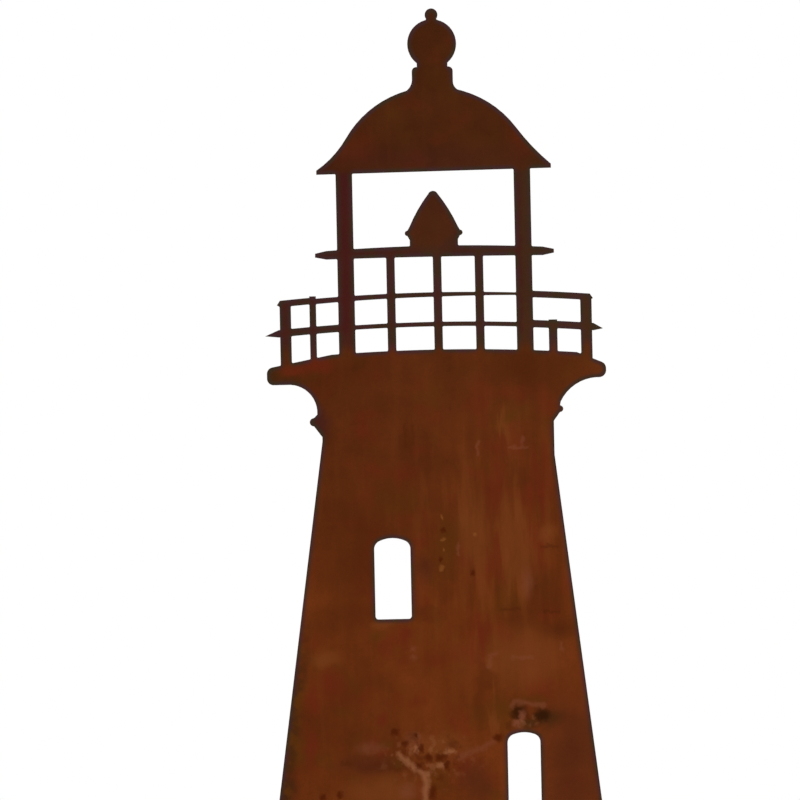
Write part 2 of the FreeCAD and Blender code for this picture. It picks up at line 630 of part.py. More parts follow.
def bracket(side):
    """A corner bracket folded from sheet, its heel in the corner behind the lighthouse."""
    left_x = side * BRACKET_SPREAD / 2 - BRACKET_WIDTH / 2
    heel = Vector(left_x, BACK, FOOT_Z)
    bend_start = BEND_RADIUS + SHEET
    outer_bend = bend_start - bend_start * math.sqrt(0.5)
    inner_bend = bend_start - BEND_RADIUS * math.sqrt(0.5)

    def on(y, z):
        return heel + Vector(0, y, z)

    profile = Part.Wire([edge.toShape() for edge in (
        Part.LineSegment(on(bend_start, 0), on(BRACKET_LEG, 0)),
        Part.LineSegment(on(BRACKET_LEG, 0), on(BRACKET_LEG, SHEET)),
        Part.LineSegment(on(BRACKET_LEG, SHEET), on(bend_start, SHEET)),
        Part.Arc(on(bend_start, SHEET), on(inner_bend, inner_bend), on(SHEET, bend_start)),
        Part.LineSegment(on(SHEET, bend_start), on(SHEET, BRACKET_LEG)),
        Part.LineSegment(on(SHEET, BRACKET_LEG), on(0, BRACKET_LEG)),
        Part.LineSegment(on(0, BRACKET_LEG), on(0, bend_start)),
        Part.Arc(on(0, bend_start), on(outer_bend, outer_bend), on(bend_start, 0)),
    )])
    folded = Part.Face(profile).extrude(Vector(BRACKET_WIDTH, 0, 0))
    # The corners of both leg ends are clipped: the short edges through the thickness, far from the heel.
    corners = [edge for edge in folded.Edges if edge.Length < SHEET + SAME_PLACE
               and (edge.CenterOfMass - heel).dot(BACKWARDS + UPWARDS) > BRACKET_LEG]
    folded = folded.makeChamfer(BRACKET_CORNER_CUT, corners)
    holes = [through_hole(CLEARANCE_HOLE_RADIUS, place, BACKWARDS) for place in upright_screw_places()]
    holes += [through_hole(CLEARANCE_HOLE_RADIUS, place, UPWARDS) for place in base_screw_places()]
    return folded.cut(holes)


# ---- fasteners, each made upright with its head or seat at the origin -------------------------------
def hexagon(across_flats, height, bottom_z):
    """A hexagonal prism on the Z axis."""
    radius = across_flats / math.sqrt(3)
    corners = [Vector(radius * math.cos(i * math.pi / 3), radius * math.sin(i * math.pi / 3), bottom_z)
               for i in range(6)]
    return Part.Face(Part.makePolygon(corners + corners[:1])).extrude(Vector(0, 0, height))


def button_head_screw():
    """Head below the origin with a hexagon socket, shank upwards."""
    top = -BUTTON_HEAD_HEIGHT
    crown = Part.makeCone(BUTTON_HEAD_TOP_RADIUS, BUTTON_HEAD_RADIUS, BUTTON_HEAD_HEIGHT, Vector(0, 0, top))
    shank = Part.makeCylinder(SCREW_RADIUS, SCREW_LENGTH)
    socket = hexagon(SOCKET_ACROSS_FLATS, SOCKET_DEPTH, top)
    return crown.fuse(shank).removeSplitter().cut(socket)


def countersunk_screw():
    """Flat head at the origin with a hexagon socket, shank upwards through the head's cone."""
    cone_depth = COUNTERSUNK_HEAD_RADIUS - SCREW_RADIUS
    head = Part.makeCone(COUNTERSUNK_HEAD_RADIUS, SCREW_RADIUS, cone_depth)
    shank = Part.makeCylinder(SCREW_RADIUS, SCREW_LENGTH)
    socket = hexagon(SOCKET_ACROSS_FLATS, SOCKET_DEPTH, 0)
    return head.fuse(shank).removeSplitter().cut(socket)


def washer():
    """A flat washer from the origin upwards."""
    ring = Part.makeCylinder(WASHER_RADIUS, WASHER_THICKNESS)
    return ring.cut(Part.makeCylinder(CLEARANCE_HOLE_RADIUS, WASHER_THICKNESS))


def nut():
    """A hexagon nut from the origin upwards."""
    bore = Part.makeCylinder(SCREW_RADIUS + THREAD_GAP, NUT_HEIGHT)
    return hexagon(NUT_ACROSS_FLATS, NUT_HEIGHT, 0).cut(bore)


def placed(shape, place, direction):
    """The fastener moved to a place, with its Z axis along direction."""
    copy = shape.copy()
    copy.Placement = FreeCAD.Placement(place, FreeCAD.Rotation(Vector(0, 0, 1), direction))
    return copy


def fastener_sets():
    """All fasteners, as one group of separate solids for each kind and direction."""
    groups = {}
    through_sheet = 2 * SHEET
    for place in upright_screw_places():
        washer_place = place + BACKWARDS * through_sheet
        add(groups, "upright_screws", placed(button_head_screw(), place, BACKWARDS))
        add(groups, "upright_washers", placed(washer(), washer_place, BACKWARDS))
        add(groups, "upright_nuts", placed(nut(), washer_place + BACKWARDS * WASHER_THICKNESS, BACKWARDS))
    through_base = BASE_THICKNESS + SHEET
    for place in base_screw_places():
        washer_place = place + UPWARDS * through_base
        add(groups, "base_screws", placed(countersunk_screw(), place + UPWARDS * COUNTERSINK_SPARE, UPWARDS))
        add(groups, "base_washers", placed(washer(), washer_place, UPWARDS))
        add(groups, "base_nuts", placed(nut(), washer_place + UPWARDS * WASHER_THICKNESS, UPWARDS))
    return {name: Part.makeCompound(solids) for name, solids in groups.items()}


def add(groups, name, solid):
    """Put a solid into the group with this name."""
    groups.setdefault(name, []).append(solid)


def main():
    parts = {
        "lighthouse_sheet": lighthouse_sheet(),
        "base_plate": base_plate(),
        "left_bracket": bracket(-1),
        "right_bracket": bracket(1),
    }
    parts.update(fastener_sets())
    os.makedirs("parts", exist_ok=True)
    for name, shape in parts.items():
        shape.exportStep(f"parts/{name}.step")
        print(f"{name}: {len(shape.Solids)} solids, valid {shape.isValid()}, {shape.Volume / 1000:.2f} cm3")


main()
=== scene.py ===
"""Garden lighthouse ornament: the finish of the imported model, its small fasteners, the studio and camera.

Lengths are in metres unless a name ends in _MM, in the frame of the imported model: X runs across the
picture, Z is up, and the picture faces -Y.
"""
import json
import math
from typing import NamedTuple

import bmesh
import bpy
from mathutils import Matrix, Vector

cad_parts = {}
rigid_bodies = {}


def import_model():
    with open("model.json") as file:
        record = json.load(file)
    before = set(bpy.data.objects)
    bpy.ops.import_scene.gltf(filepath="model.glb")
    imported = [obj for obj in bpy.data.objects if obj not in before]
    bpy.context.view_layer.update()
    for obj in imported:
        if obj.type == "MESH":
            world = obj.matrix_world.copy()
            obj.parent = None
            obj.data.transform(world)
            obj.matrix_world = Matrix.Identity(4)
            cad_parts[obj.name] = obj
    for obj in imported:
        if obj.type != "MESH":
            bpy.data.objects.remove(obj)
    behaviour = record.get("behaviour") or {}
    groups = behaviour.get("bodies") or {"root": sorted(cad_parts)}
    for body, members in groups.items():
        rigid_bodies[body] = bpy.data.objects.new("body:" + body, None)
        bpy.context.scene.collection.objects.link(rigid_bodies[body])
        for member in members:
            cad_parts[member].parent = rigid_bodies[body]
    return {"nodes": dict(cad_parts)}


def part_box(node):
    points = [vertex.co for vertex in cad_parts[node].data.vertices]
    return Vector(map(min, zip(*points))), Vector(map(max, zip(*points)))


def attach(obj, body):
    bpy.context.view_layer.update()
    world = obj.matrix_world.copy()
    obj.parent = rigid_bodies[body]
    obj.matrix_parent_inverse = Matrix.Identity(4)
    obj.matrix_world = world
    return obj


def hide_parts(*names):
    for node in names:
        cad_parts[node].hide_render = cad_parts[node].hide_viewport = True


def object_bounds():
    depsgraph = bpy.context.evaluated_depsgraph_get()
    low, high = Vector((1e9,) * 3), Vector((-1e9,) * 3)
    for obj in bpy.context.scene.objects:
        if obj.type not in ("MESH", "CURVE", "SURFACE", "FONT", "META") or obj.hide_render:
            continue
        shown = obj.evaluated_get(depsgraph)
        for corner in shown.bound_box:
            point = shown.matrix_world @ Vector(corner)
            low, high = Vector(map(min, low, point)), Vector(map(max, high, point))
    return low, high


for leftover in list(bpy.data.objects):
    bpy.data.objects.remove(leftover)
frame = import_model()
CAD_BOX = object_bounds()
MM = 0.001
SIDES = (-1, 1)


def srgb(red, green, blue):
    """A colour written as 0 to 255 on a screen, as the linear colour that shaders take."""
    linear = []
    for value in (red, green, blue):
        share = value / 255
        linear.append(share / 12.92 if share <= 0.04045 else ((share + 0.055) / 1.055) ** 2.4)
    return (*linear, 1.0)


# ---- what the photograph frames ---------------------------------------------------------------------
VIEW_CENTRE_X = -0.0167        # the middle of the photograph, on the face of the sheet
VIEW_CENTRE_Z = 0.3867
VIEW_WIDTH = 0.4648            # what it spans there
VIEW_TILT = math.radians(1.2)  # the sheet stands this much out of true in it
CAMERA_DISTANCE = 2.5
SENSOR_MM = 36.0

# ---- colours of the rust ----------------------------------------------------------------------------
LOW_BROWN = srgb(98, 44, 14)
TOP_BROWN = srgb(66, 31, 11)
RED_RUST = srgb(98, 33, 15)
DEEP_RED = srgb(66, 18, 20)
OLIVE_RUST = srgb(82, 45, 10)
DARK_OLIVE = srgb(60, 34, 12)
STREAK_RUST = srgb(112, 58, 24)
TAN_RUST = srgb(146, 92, 60)
OCHRE_RUST = srgb(134, 80, 36)
PINK_RUST = srgb(120, 66, 44)
PLUM_RUST = srgb(70, 31, 17)
DARK_PIT = srgb(72, 24, 3)
BLACKENED = srgb(40, 17, 3)
DARK_BROWN = srgb(74, 32, 8)
SLENDER_PLUM = srgb(56, 25, 25)
SLENDER_OLIVE = srgb(52, 37, 24)
RIM_PLUM = srgb(58, 38, 40)
RIM_OLIVE = srgb(50, 42, 30)
CUT_EDGE = srgb(70, 42, 26)
PLATE_BROWN = srgb(84, 42, 20)
PLATE_DARK = srgb(58, 32, 18)
PLATE_ORANGE = srgb(124, 62, 24)
DULL_STEEL = srgb(128, 118, 106)
STEEL_STAIN = srgb(96, 62, 36)


# ---- marks on the front of the sheet, in millimetres ------------------------------------------------
class Marks(NamedTuple):
    """Marks that look alike.  An oval is (x, z, half width, half height); a line is (half width, points)."""
    tint: tuple
    strength: float
    ovals: tuple = ()
    lines: tuple = ()
    soft: float = 0.7          # the share of an oval's size over which it fades
    outline: str = "close"     # how its outline wanders: close, loose or brushed
    relief: float = 0.0        # how far they stand proud, as a share of RUST_RELIEF


FRONT_MARKS = (
    # dark clouds
    Marks(DARK_BROWN, 0.50, outline="loose", soft=0.9, ovals=(
        (-12, 365, 3.5, 7), (-42, 300, 16, 30), (-45, 262, 24, 7), (-5, 262, 7, 4), (28, 218, 3, 20),
        (76, 252, 12, 5), (66, 274, 9, 12), (54, 404, 17, 8), (-29.8, 173, 9, 2.6),
    )),
    # plum clouds, the largest at the lower right
    Marks(PLUM_RUST, 0.55, outline="loose", soft=0.9, ovals=(
        (82, 182, 19, 28), (78, 158, 17, 18), (23, 164, 9, 11), (-40, 175, 15, 4.5), (-5, 288, 4, 6),
        (-87, 162, 5, 9),
    )),
    # light runs, most of them among the rain streaks
    Marks(STREAK_RUST, 0.50, outline="brushed", ovals=(
        (24, 309, 8.5, 25), (47, 309, 9, 16), (51, 287, 7, 15), (42.5, 375, 3.5, 8), (34, 205, 3, 7),
    )),
    # light patches
    Marks(STREAK_RUST, 0.60, outline="loose", ovals=(
        (52, 235, 20, 15), (-63, 237.5, 8, 4), (-29, 257, 6, 3), (67.5, 307, 5, 4.5), (33.5, 233, 4, 6),
        (-30, 158.5, 19, 9), (2, 184, 15, 8),
    )),
    # red runs beside the light ones
    Marks(RED_RUST, 0.50, outline="brushed", ovals=(
        (37, 335, 5.5, 18), (36.5, 293, 5.5, 9), (64, 337, 7, 15), (27, 250, 5, 10),
    )),
    # red patches, all to the left
    Marks(RED_RUST, 0.62, outline="loose", ovals=(
        (-59, 222, 7, 8), (-71, 213, 3.5, 8), (-72, 185, 3, 9), (-16, 251, 4, 4), (-30.5, 200.5, 3, 3),
        (-63, 408.5, 8, 3.5), (-78, 405.5, 9, 3.5),
    )),
    # faint red on the dome
    Marks(RED_RUST, 0.25, outline="loose", soft=0.9, ovals=((-43, 532.5, 14, 9), (57, 536, 6, 9))),
    # olive patches
    Marks(OLIVE_RUST, 0.60, outline="loose", soft=0.9, ovals=(
        (47, 374.5, 3, 3), (-33, 250, 4, 3), (38, 207, 4, 6), (9, 300, 5, 13), (-80, 184.5, 3.5, 7),
        (-30, 187.5, 4, 3), (-22.5, 175.5, 3.5, 3.5), (56, 210, 10, 3),
    )),
    # faint pink patches and scratches
    Marks(PINK_RUST, 0.36, soft=0.9, ovals=(
        (55, 279, 3, 7), (-38, 185, 7, 3), (-17, 159, 4, 4), (-13, 188, 4, 5), (-12, 242.3, 1.6, 1.6),
        (-12.1, 236.9, 1.8, 1.6),
    ), lines=(
        (1.8, ((28, 361), (28, 354))), (1.9, ((46, 358), (56.5, 357.8))), (1.8, ((54, 364), (54, 360))),
        (2.2, ((46, 235.7), (57, 235.5))), (2.2, ((32, 230.5), (33, 237), (36, 238.5))),
        (1.8, ((74.5, 243.5), (74.4, 239.5))), (1.8, ((15.2, 302), (14.8, 299), (15.5, 296.5))),
        (3.2, ((13, 178), (18, 180.5), (28, 184), (33, 187.5))),
    )),
    # dark scratches and spots
    Marks(DARK_BROWN, 0.55, lines=(
        (1.8, ((64, 300), (73, 300))), (1.6, ((64.5, 262), (72.5, 261.5))), (1.6, ((39.5, 264), (50, 264))),
        (1.6, ((-14, 372), (-14.2, 360))), (1.6, ((-9.5, 371), (-9.7, 361))),
    ), ovals=(
        (10, 186, 3.5, 2.5), (-12.5, 191, 2.8, 2.8), (-52, 176, 3.5, 1.5), (43, 196.5, 2, 2.5),
    )),
    # the light veins and crumbs of the pitted patch
    Marks(TAN_RUST, 0.55, relief=0.3, lines=(
        (2.9, ((-22, 181), (-19, 178), (-14.5, 174.5), (-10, 171), (-5, 168.5))),
        (3.7, ((-6.5, 168), (-6.3, 163), (-7, 157), (-6.5, 146))),
    ), ovals=(
        (-6.2, 168.6, 2.6, 1.6), (2.9, 174.1, 2.2, 1.6), (8.1, 181.9, 3.0, 1.5), (-11.1, 183.6, 1.3, 2.4),
    )),
    # ochre specks beside the upper window
    Marks(OCHRE_RUST, 0.45, ovals=(
        (6.2, 305.4, 1.4, 1.0), (5.4, 288.4, 1.2, 1.6), (6.6, 299.6, 0.8, 1.1), (6.0, 318.0, 0.8, 1.2),
        (25.2, 307.5, 1.1, 1.1),
    )),
    # dark olive: beside the blemish, at the deck's left end and the dome's right end
    Marks(DARK_OLIVE, 0.75, soft=0.9, ovals=(
        (65.5, 200.5, 7.5, 4.4), (55, 197.5, 5, 3), (-91, 402, 4.5, 7), (-82, 398, 9, 3), (66, 523, 6, 4),
    )),
    # the blemish over the lower window: two hollows, what is raised by them, a line above
    Marks(BLACKENED, 0.80, soft=0.6, relief=-0.6, ovals=((48.6, 203.6, 4.4, 4.6), (61.8, 202, 4.2, 3.8))),
    Marks(PINK_RUST, 0.75, relief=0.3, ovals=((50.6, 201.4, 1.9, 3.2), (47.2, 197.6, 2.2, 2.2))),
    Marks(PINK_RUST, 0.42, lines=((2.8, ((44.8, 207.5), (46.4, 210), (52.2, 209.4), (62.6, 207.6))),)),
    # pits
    Marks(DARK_PIT, 0.85, relief=-1.0, ovals=(
        (-23.6, 193.6, 2.1, 2.1), (-18.0, 187.0, 1.9, 2.0), (-8.7, 183.9, 1.5, 2.6), (2.8, 178.7, 2.9, 2.7),
        (-4.3, 178.4, 2.0, 2.6), (-10.3, 173.7, 2.1, 2.0), (6.2, 173.9, 1.9, 1.9), (-2.4, 158.0, 2.2, 3.8),
        (-56.6, 158.0, 1.6, 2.2), (-66.5, 156.7, 1.8, 2.0), (23.6, 285.3, 1.5, 2.0), (6.8, 310.6, 1.2, 1.2),
        (5.0, 293.5, 1.2, 1.6), (36.4, 189.4, 2.4, 2.2), (-12.1, 191.9, 1.0, 1.0),
    )),
    # dark plum at the left end of the neck's bead
    Marks(SLENDER_PLUM, 0.70, ovals=((-66, 373, 7, 9),)),
    # and, faintly, along the foot of the dome
    Marks(SLENDER_PLUM, 0.25, outline="loose", soft=0.9, ovals=((5, 526, 62, 7),)),
    # the lantern's two posts
    Marks(DEEP_RED, 0.50, lines=((4.2, ((-46.5, 517), (-47.2, 428))), (3.4, ((53.8, 517), (53.8, 425))))),
)

# ---- where the marks' zones lie ---------------------------------------------------------------------
STREAK_ZONE_MM = (38, 298, 44, 66)
PIT_FIELD_MM = (-5, 178, 26, 14)
KNOT_FIELD_MM = (53, 199, 7, 4.5)
BEACON_MM = (-0.5, 492, 20, 17)
ZONE_SOFT = 0.6                # the share of its size over which a zone fades
BEACON_SOFT = 0.2
LEFT_SIDE_MM = ((-113.15, 3), (-62.25, 363.6))   # the tower's left side, foot to neck

# ---- where a look comes in: from where there is none of it to where there is all --------------------
FRONT_Y = (0.0003, -0.0003)       # the front's own pattern and marks: halfway through the sheet
DARKER_TOP_Z = (0.18, 0.60)        # the darker brown of the top
PAINTED_LIGHT_X = (-0.07, 0.07)        # painted light: the rust is painted a little brighter to the right, as if lit from there
LIVELY_Z = (0.43, 0.36)           # it is more varied below the gallery
SLENDER_FOOT_Z = (0.414, 0.422)   # all is slender above the deck ...
SLENDER_HEAD_Z = (0.522, 0.516)   # ... and below the dome
LEFT_BAND_Z = (0.27, 0.22)        # the dark band down the tower's left side
LEFT_BAND_GAP = (0.010, 0.004)    # the same band, by the distance from that side
RIM_TURN = (0.05, 0.40)           # the dark rim: how far a rounded edge turns the face
CUT_FACE_TURN = (0.8, 0.4)        # the cut faces: how squarely they face the front or the back

# ---- the patterns; cells are counted to the metre ---------------------------------------------------
CLOUD_CELLS = 16.0
PATCH_CELLS = 60.0
GRAIN_CELLS = 600.0
RED_CELLS = 42.0
OLIVE_CELLS = 33.0
STREAK_CELLS = 150.0
BRUSH_CELLS = 260.0
CRUMB_CELLS = 210.0
POST_CELLS = 50.0
SCALE_CELLS = 90.0
BLOTCH_CELLS = 30.0
STAIN_CELLS = 19.0
STEEL_GRAIN_CELLS = 900.0
STEEL_STAIN_CELLS = 260.0
FRONT_SHIFT = (0.43, 0.0, 0.27)   # keeps the front's pattern unlike the back's
STREAK_DRAWN_OUT = (1.0, 1.0, 0.15)
BRUSH_DRAWN_OUT = (1.0, 1.0, 0.10)
BRUSH_LIFT = 0.035                # how far the brushed outlines are drawn up and down
CLOSE_WOBBLE = (300.0, 0.0045)    # cells to the metre, and the span over which they move things
LOOSE_WOBBLE = (60.0, 0.012)
BRUSHED_WOBBLE = (90.0, 0.004)
LEFT_BAND_WOBBLE = (60.0, 0.006)
OLIVE_TO_RIGHT = 4.0              # how fast slender things turn from plum to olive, to the metre
RIM_REACH = 0.005                 # how far the dark rim reaches from an edge
RUST_RELIEF = 0.00025             # the full depth of the rust's bumps
STEEL_RELIEF = 0.00004
CRUMB_RELIEF = -0.6               # how far the small pits stand proud, as a share of RUST_RELIEF

# ---- M5 fasteners -----------------------------------------------------------------------------------
THREAD_PITCH = 0.0008
THREAD_DEPTH = 0.0004
SCREW_RADIUS = 0.0025
SCREW_LENGTH = 0.012
BUTTON_RADIUS = 0.00475
BUTTON_HEIGHT = 0.00275
BUTTON_TOP = 0.0021            # the radius where its dome starts
BUTTON_RIM = 0.18              # the share of its height that its rim has
SUNK_RADIUS = 0.0048
HEX_SOCKET = 0.0030            # across its flats
SOCKET_DEPTH = 0.0016
SOCKET_MOUTH = 0.00186         # the radius of the flat round it
NUT_FLATS = 0.0080
NUT_BORE = 0.00255
NUT_FACE = 0.0038              # the radius of its flat faces, inside the chamfer
NUT_CHAMFER = math.radians(30)
WASHER_BORE = 0.00275
CORNER_BREAK = 0.00015
ROUND_STEPS = 48               # a multiple of six, so that hexagons get their corners
SMOOTH_BELOW = math.radians(32)   # blunter corners than this are shaded smooth


# ---- a small kit for node materials -----------------------------------------------------------------
class Recipe:
    """A node material in the making.  Its methods take sockets or plain values and return a socket."""

    def __init__(self, name):
        self.material = bpy.data.materials.new(name)
        self.material.use_nodes = True
        self.nodes = self.material.node_tree.nodes
        self.links = self.material.node_tree.links
        self.nodes.clear()
        coordinates = self.nodes.new("ShaderNodeTexCoord")
        self.place = coordinates.outputs["Object"]
        self.normal = coordinates.outputs["Normal"]
        axes = self.nodes.new("ShaderNodeSeparateXYZ")
        self.links.new(self.place, axes.inputs[0])
        self.x, self.y, self.z = axes.outputs

    def add(self, kind, inputs, output=0, **settings):
        """A new node with these settings and inputs; returns one of its outputs."""
        node = self.nodes.new(kind)
        for setting, value in settings.items():
            setattr(node, setting, value)
        for key, value in inputs.items():
            if isinstance(value, bpy.types.NodeSocket):
                self.links.new(value, node.inputs[key])
            else:
                node.inputs[key].default_value = value
        return node.outputs[output]

    def calc(self, operation, *values):
        return self.add("ShaderNodeMath", dict(enumerate(values)), operation=operation)

    def vector(self, operation, *values, output=0):
        return self.add("ShaderNodeVectorMath", dict(enumerate(values)), output, operation=operation)

    def scaled(self, way, factor):
        """A vector made longer or shorter by a factor."""
        return self.add("ShaderNodeVectorMath", {"Vector": way, "Scale": factor}, operation="SCALE")

    def rise(self, value, start, end):
        """0 before start and 1 past end, smooth between; start may be the larger of the two."""
        span = {"Value": value, "From Min": start, "From Max": end}
        return self.add("ShaderNodeMapRange", span, interpolation_type="SMOOTHSTEP", clamp=False)

    def between(self, share, low, high):
        """A value that goes from low to high as share goes from 0 to 1."""
        return self.calc("MULTIPLY_ADD", share, high - low, low)

    def mix(self, share, first, second):
        """A colour that goes from first to second as share goes from 0 to 1."""
        # the node's inputs 6 and 7, and its output 2, are the ones for colours
        return self.add("ShaderNodeMix", {0: share, 6: first, 7: second}, 2, data_type="RGBA")

    def tinted(self, colour, tint, mask, strength):
        """The colour, turned towards a tint by the given strength where the mask is 1."""
        return self.mix(self.calc("MULTIPLY", mask, strength), colour, tint)

    def shade(self, colour, light):
        """The colour made darker or lighter by a factor."""
        factors = {0: 1.0, 6: colour, 7: light}
        return self.add("ShaderNodeMix", factors, 2, data_type="RGBA", blend_type="MULTIPLY")

    def noise(self, place, cells, detail=3.0, roughness=0.5, output=0):
        """Cloudy noise around 0.5, with so many cells to the metre."""
        values = {"Vector": place, "Scale": cells, "Detail": detail, "Roughness": roughness}
        return self.add("ShaderNodeTexNoise", values, output)

    def wobbled(self, place, cells, amount):
        """The place moved about a little, so that what is drawn there gets uneven edges."""
        shift = self.vector("SUBTRACT", self.noise(place, cells, output=1), (0.5, 0.5, 0.5))
        return self.vector("MULTIPLY_ADD", shift, (amount, amount, amount), place)

    def any_of(self, masks):
        """The strongest of several masks."""
        strongest = masks[0]
        for mask in masks[1:]:
            strongest = self.calc("MAXIMUM", strongest, mask)
        return strongest

    def spot(self, place, oval, soft):
        """1 inside an oval; soft is the share of its size over which it fades."""
        x, z, half_width, half_height = (value * MM for value in oval)
        offset = self.vector("SUBTRACT", place, (x, 0, z))
        reach = self.vector("LENGTH", self.vector("MULTIPLY", offset, (1 / half_width, 0, 1 / half_height)),
                            output=1)
        return self.rise(reach, 1 + soft, 1 - soft)

    def stroke(self, place, path, half_width):
        """1 along a path of straight runs, fading to 0 at half_width from it."""
        flat = self.vector("MULTIPLY", place, (1, 0, 1))
        runs = []
        for (x_from, z_from), (x_to, z_to) in zip(path, path[1:]):
            start = Vector((x_from, 0, z_from)) * MM
            way = Vector((x_to - x_from, 0, z_to - z_from)) * MM
            offset = self.vector("SUBTRACT", flat, start)
            dot = self.vector("DOT_PRODUCT", offset, way, output=1)
            share = self.calc("DIVIDE", dot, way.length_squared)
            along = self.calc("MAXIMUM", self.calc("MINIMUM", share, 1.0), 0.0)
            nearest = self.scaled(way, along)
            runs.append(self.rise(self.vector("DISTANCE", offset, nearest, output=1), half_width, 0.0))
        return self.any_of(runs)

    def rim(self, reach):
        """1 at the piece's edges, 0 well inside: how far a rounding of this radius would turn the face."""
        rounded = self.add("ShaderNodeBevel", {"Radius": reach}, samples=8)
        flat = self.nodes.new("ShaderNodeNewGeometry").outputs["Normal"]
        turned = self.vector("DISTANCE", rounded, flat, output=1)
        return self.rise(turned, *RIM_TURN)

    def finish(self, colour, roughness, height, relief, metallic=0.0, specular=0.02):
        """Wires the surface; relief is how deep the full range of height is, in metres."""
        bump = self.add("ShaderNodeBump", {"Height": height, "Distance": relief, "Strength": 1.0})
        surface = self.nodes.new("ShaderNodeBsdfPrincipled")
        surface.inputs["Metallic"].default_value = metallic
        surface.inputs["Specular IOR Level"].default_value = specular
        self.links.new(colour, surface.inputs["Base Color"])
        self.links.new(roughness, surface.inputs["Roughness"])
        self.links.new(bump, surface.inputs["Normal"])
        output = self.nodes.new("ShaderNodeOutputMaterial")
        self.links.new(surface.outputs[0], output.inputs["Surface"])
        return self.material


# ---- rust -------------------------------------------------------------------------------------------
def rust_ground(recipe, place, colour):
    """Plain rust over a colour: clouds, patches and grain.  Returns its colour, its height and the grain."""
    clouds = recipe.noise(place, CLOUD_CELLS, detail=2.0)
    patches = recipe.noise(place, PATCH_CELLS)
    grain = recipe.noise(place, GRAIN_CELLS, roughness=0.6)
    light = recipe.between(clouds, 0.60, 1.40)
    light = recipe.calc("MULTIPLY", light, recipe.between(patches, 0.70, 1.30))
    light = recipe.calc("MULTIPLY", light, recipe.between(grain, 0.88, 1.12))
    colour = recipe.shade(colour, light)
    height = recipe.calc("MULTIPLY_ADD", grain, 0.5, recipe.calc("MULTIPLY", patches, 0.5))
    return colour, height, grain


def sheet_rust():
    """The lighthouse's rust: darker towards the top, streaked at the right, pitted low down in front."""
    recipe = Recipe("sheet_rust")
    front = recipe.rise(recipe.y, *FRONT_Y)
    place = recipe.vector("MULTIPLY_ADD", front, FRONT_SHIFT, recipe.place)
    lively = recipe.rise(recipe.z, *LIVELY_Z)

    # darker towards the top, by height alone
    toward_top = recipe.rise(recipe.z, *DARKER_TOP_Z)
    # painted light: a factor that darkens the colour to the left and brightens it to the right, as if lit
    # from the right
    across = recipe.between(recipe.rise(recipe.x, *PAINTED_LIGHT_X), 0.92, 1.08)
    brown = recipe.shade(recipe.mix(toward_top, LOW_BROWN, TOP_BROWN), across)
    colour, height, grain = rust_ground(recipe, place, brown)
    colour = mottled(recipe, place, lively, across, colour)
    colour = streaked(recipe, place, front, lively, colour)
    colour = slender(recipe, place, colour)

    places = outlines(recipe)
    colour, height = marked(recipe, places, front, colour, height)
    colour, height = crumbled(recipe, places, front, colour, height)
    colour = rimmed(recipe, place, colour)
    return recipe.finish(colour, recipe.between(grain, 0.75, 0.95), height, RUST_RELIEF)


def mottled(recipe, place, lively, across, colour):
    """Patches of redder and of more olive rust, fainter where the rust is calm."""
    reddish = recipe.rise(recipe.noise(place, RED_CELLS), 0.50, 0.66)
    # the red and the olive get the same painted light, brighter to the right
    red = recipe.shade(RED_RUST, across)
    colour = recipe.tinted(colour, red, reddish, recipe.between(lively, 0.18, 0.45))
    greenish = recipe.rise(recipe.noise(place, OLIVE_CELLS), 0.48, 0.34)
    olive = recipe.shade(OLIVE_RUST, across)
    return recipe.tinted(colour, olive, greenish, recipe.between(lively, 0.16, 0.40))


def streaked(recipe, place, front, lively, colour):
    """Rain streaks: strong in one zone of the front, faint elsewhere, light ones beside dark ones."""
    runs = recipe.noise(recipe.vector("MULTIPLY", place, STREAK_DRAWN_OUT), STREAK_CELLS)
    zone = recipe.calc("MULTIPLY", recipe.spot(recipe.place, STREAK_ZONE_MM, ZONE_SOFT), front)
    strength = recipe.calc("MULTIPLY_ADD", zone, 0.25, recipe.between(lively, 0.04, 0.09))
    colour = recipe.tinted(colour, DARK_BROWN, recipe.rise(runs, 0.50, 0.36), strength)
    return recipe.tinted(colour, STREAK_RUST, recipe.rise(runs, 0.50, 0.66), strength)


def slender(recipe, place, colour):
    """Posts, rails and sill are darker and duller, plum to the left and olive to the right."""
    upright = recipe.calc("MULTIPLY", recipe.rise(recipe.z, *SLENDER_FOOT_Z),
                          recipe.rise(recipe.z, *SLENDER_HEAD_Z))
    patches = recipe.noise(place, POST_CELLS, detail=2.0)
    rightness = recipe.calc("MULTIPLY_ADD", recipe.x, OLIVE_TO_RIGHT, patches)
    tint = recipe.mix(recipe.rise(rightness, 0.35, 0.75), SLENDER_PLUM, SLENDER_OLIVE)
    beacon = recipe.spot(recipe.place, BEACON_MM, BEACON_SOFT)
    return recipe.tinted(colour, tint, upright, recipe.between(beacon, 0.65, 0.25))


def outlines(recipe):
    """The place at which a mark is drawn, for each way in which its outline wanders."""
    brush = recipe.noise(recipe.vector("MULTIPLY", recipe.place, BRUSH_DRAWN_OUT), BRUSH_CELLS, detail=2.0)
    up_and_down = recipe.scaled((0.0, 0.0, 1.0), recipe.between(brush, -BRUSH_LIFT, BRUSH_LIFT))
    return {
        "close": recipe.wobbled(recipe.place, *CLOSE_WOBBLE),
        "loose": recipe.wobbled(recipe.place, *LOOSE_WOBBLE),
        "brushed": recipe.vector("ADD", recipe.wobbled(recipe.place, *BRUSHED_WOBBLE), up_and_down),
    }


def marked(recipe, places, front, colour, height):
    """The single marks on the front."""
    for marks in FRONT_MARKS:
        place = places[marks.outline]
        masks = [recipe.spot(place, oval, marks.soft) for oval in marks.ovals]
        masks += [recipe.stroke(place, points, half_width * MM) for half_width, points in marks.lines]
        mask = recipe.calc("MULTIPLY", recipe.any_of(masks), front)
        colour = recipe.tinted(colour, marks.tint, mask, marks.strength)
        if marks.relief:
            height = recipe.calc("MULTIPLY_ADD", mask, marks.relief, height)
    return colour, height


